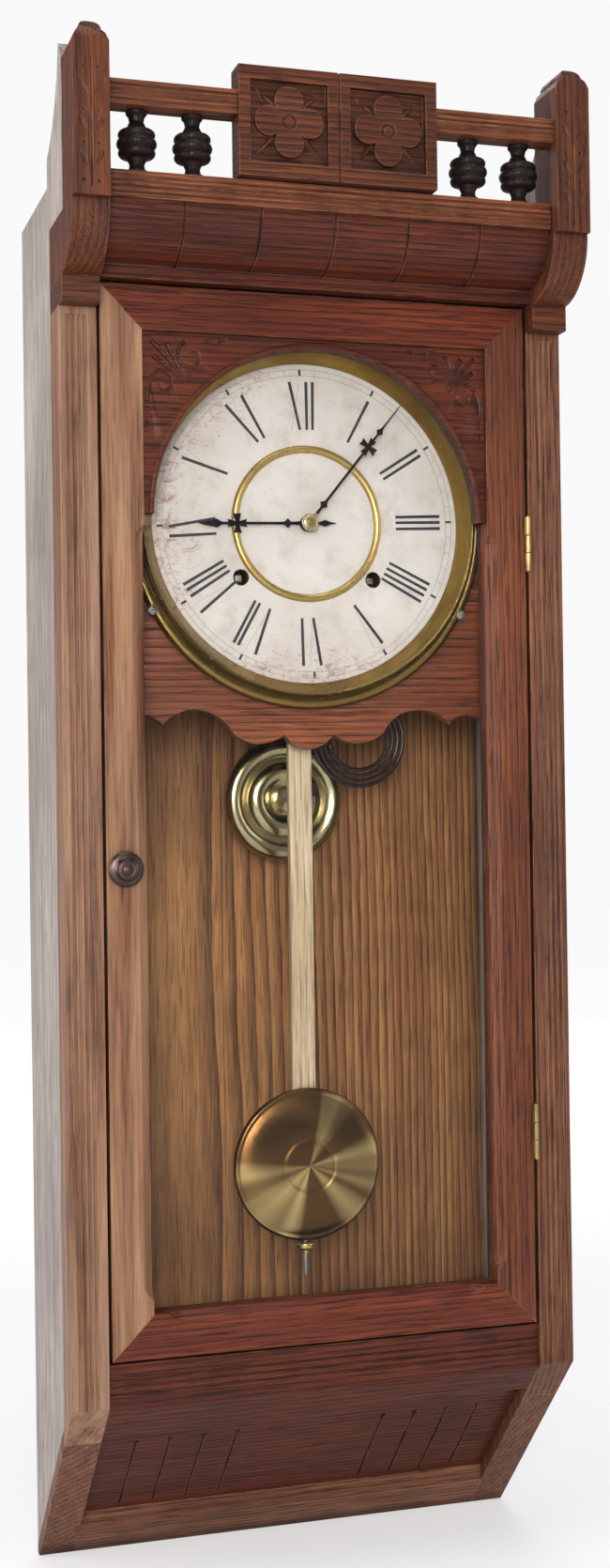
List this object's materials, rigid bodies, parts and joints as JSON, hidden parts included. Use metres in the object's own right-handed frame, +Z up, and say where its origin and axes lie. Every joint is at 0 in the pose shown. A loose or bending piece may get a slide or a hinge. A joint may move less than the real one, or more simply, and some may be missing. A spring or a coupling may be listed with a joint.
{
  "type": "wall clock",
  "caption": "Tall wall clock in carved oak with a glazed door, round painted dial, two winding holes, a gong and a wood-rod pendulum with a brass bob.",
  "frame": {"origin": "centre of the hole in the hanger plate, on the wall plane", "axes": "+Z up, +Y into the wall, the dial faces -Y, +X to the right seen from the front"},
  "size_m": [0.327, 0.183, 0.949],
  "materials": {
    "oak": "oiled and varnished red-brown oak, open grain",
    "ash_back": "golden-olive varnished ash boards",
    "dark_wood": "dark stained turned wood",
    "pale_wood": "bare weathered softwood",
    "brass": "lacquered spun and cut brass",
    "steel": "plain steel",
    "dark_steel": "blued or blackened steel",
    "bronze_knob": "dark turned metal",
    "glass": "clear window glass",
    "dial_paint": "aged off-white paint on sheet metal",
    "hand_black": "black lacquer"
  },
  "bodies": {
    "case": {"side_board_left": "oak", "side_board_right": "oak", "back_boards": "ash_back", "hanger_plate": "dark_steel", "hanger_screws": "dark_steel", "case_top_board": "oak", "pilasters": "oak", "capital_blocks": "oak", "cornice_brackets": "oak", "gallery_posts": "oak", "gallery_rail_lower": "oak", "gallery_rail_upper": "oak", "gallery_spindles": "dark_wood", "flower_block": "oak", "cornice": "oak", "lower_rail": "oak", "apron_panel": "oak", "apron_side_strips": "oak", "apron_bottom_rail": "oak", "dial_board": "oak", "hinge_leaves_case_and_pins": "brass", "dial_pan": "dial_paint", "dial_bezel": "brass", "dial_centre_ring": "brass", "bezel_screws": "steel", "mainsprings": "dark_steel", "movement_front_plate": "brass", "movement_back_plate": "brass", "movement_pillars_and_nuts": "steel", "gong_base": "dark_wood", "gong_cover": "brass", "gong_coil_and_block": "dark_steel"},
    "door": {"door_stiles": "oak", "door_rails": "oak", "door_spandrel": "oak", "door_glass": "glass", "door_glass_beads": "oak", "hinge_leaves_door": "brass"},
    "door_knob": {"door_knob_and_tongue": "bronze_knob"},
    "centre_arbor": {"centre_wheel": "brass", "minute_hand": "hand_black", "hand_washer_and_pin": "brass"},
    "hour_pipe": {"hour_wheel": "brass", "hour_hand": "hand_black"},
    "minute_wheel": {"minute_wheel": "brass"},
    "second_wheel": {"time_second_wheel": "brass"},
    "time_great_wheel": {"time_great_wheel": "brass"},
    "third_wheel": {"third_wheel": "brass"},
    "escape_wheel": {"escape_wheel": "brass"},
    "verge": {"verge_and_crutch": "steel"},
    "pendulum": {"pendulum_suspension_and_rod": "steel", "pendulum_stick": "pale_wood"},
    "pendulum_bob": {"pendulum_bob": "brass"},
    "rating_nut": {"rating_nut": "brass"},
    "time_winding_arbor": {"time_winding_arbor": "steel"},
    "strike_winding_arbor": {"strike_winding_arbor": "steel"},
    "strike_great_wheel": {"strike_great_wheel": "brass"},
    "pin_wheel": {"strike_pin_wheel": "brass"},
    "fly": {"strike_fly": "brass"},
    "hammer": {"strike_hammer": "steel"}
  },
  "joints": [
    {"name": "door_swing", "type": "hinge", "parent": "case", "child": "door", "pos_m": [0.1394, -0.1338, -0.422], "axis": [0, 0, 1], "range_deg": [0, 100]},
    {"name": "knob_turn", "type": "hinge", "parent": "door", "child": "door_knob", "pos_m": [-0.1265, -0.1315, -0.4365], "axis": [0, 1, 0], "range_deg": [0, 90]},
    {"name": "minute_turn", "type": "hinge", "parent": "case", "child": "centre_arbor", "pos_m": [0, -0.109, -0.22], "axis": [0, 1, 0], "continuous": true},
    {"name": "hour_turn", "type": "hinge", "parent": "case", "child": "hour_pipe", "pos_m": [0, -0.106, -0.22], "axis": [0, 1, 0], "continuous": true},
    {"name": "minute_wheel_turn", "type": "hinge", "parent": "case", "child": "minute_wheel", "pos_m": [0.01188, -0.066, -0.23188], "axis": [0, 1, 0], "continuous": true},
    {"name": "second_wheel_turn", "type": "hinge", "parent": "case", "child": "second_wheel", "pos_m": [0.02698, -0.042, -0.22102], "axis": [0, 1, 0], "continuous": true},
    {"name": "time_great_turn", "type": "hinge", "parent": "case", "child": "time_great_wheel", "pos_m": [0.044, -0.029, -0.255], "axis": [0, 1, 0], "continuous": true},
    {"name": "third_wheel_turn", "type": "hinge", "parent": "case", "child": "third_wheel", "pos_m": [-0.00487, -0.042, -0.19601], "axis": [0, 1, 0], "continuous": true},
    {"name": "escape_turn", "type": "hinge", "parent": "case", "child": "escape_wheel", "pos_m": [0, -0.042, -0.1755], "axis": [0, 1, 0], "continuous": true},
    {"name": "pendulum_swing", "type": "hinge", "parent": "case", "child": "pendulum", "pos_m": [0, -0.078, -0.192], "axis": [0, 1, 0], "range_deg": [-3, 3]},
    {"name": "verge_rock", "type": "hinge", "parent": "case", "child": "verge", "pos_m": [0, -0.0665, -0.192], "axis": [0, 1, 0], "range_deg": [-3, 3]},
    {"name": "bob_slide", "type": "slide", "parent": "pendulum", "child": "pendulum_bob", "axis": [0, 0, 1], "range_m": [-0.0008, 0.0008]},
    {"name": "time_winding", "type": "hinge", "parent": "case", "child": "time_winding_arbor", "pos_m": [0.044, -0.08, -0.255], "axis": [0, 1, 0], "continuous": true},
    {"name": "strike_winding", "type": "hinge", "parent": "case", "child": "strike_winding_arbor", "pos_m": [-0.044, -0.08, -0.255], "axis": [0, 1, 0], "continuous": true},
    {"name": "strike_great_turn", "type": "hinge", "parent": "case", "child": "strike_great_wheel", "pos_m": [-0.044, -0.029, -0.255], "axis": [0, 1, 0], "continuous": true},
    {"name": "pin_wheel_turn", "type": "hinge", "parent": "case", "child": "pin_wheel", "pos_m": [-0.0374, -0.042, -0.21758], "axis": [0, 1, 0], "continuous": true},
    {"name": "fly_turn", "type": "hinge", "parent": "case", "child": "fly", "pos_m": [-0.03386, -0.042, -0.19749], "axis": [0, 1, 0], "continuous": true},
    {"name": "hammer_strike", "type": "hinge", "parent": "case", "child": "hammer", "pos_m": [0, -0.05, -0.276], "axis": [0, 1, 0], "range_deg": [-4.6, 10]},
    {"name": "rating_nut_turn", "type": "hinge", "parent": "pendulum_bob", "child": "rating_nut", "pos_m": [0, -0.078, -0.684], "axis": [0, 0, 1], "range_deg": [-360, 360]}
  ],
  "couplings": [
    {"joint": "hour_turn", "follows": "minute_turn", "ratio": 0.083333},
    {"joint": "minute_wheel_turn", "follows": "minute_turn", "ratio": -0.33333},
    {"joint": "second_wheel_turn", "follows": "minute_turn", "ratio": -0.5},
    {"joint": "time_great_turn", "follows": "minute_turn", "ratio": 0.071429},
    {"joint": "third_wheel_turn", "follows": "minute_turn", "ratio": -8},
    {"joint": "escape_turn", "follows": "minute_turn", "ratio": 60},
    {"joint": "verge_rock", "follows": "pendulum_swing", "ratio": 1},
    {"joint": "rating_nut_turn", "follows": "bob_slide", "rad_per_m": 7854},
    {"joint": "strike_great_turn", "follows": "pin_wheel_turn", "ratio": -0.14286},
    {"joint": "fly_turn", "follows": "pin_wheel_turn", "ratio": -7.5}
  ]
}
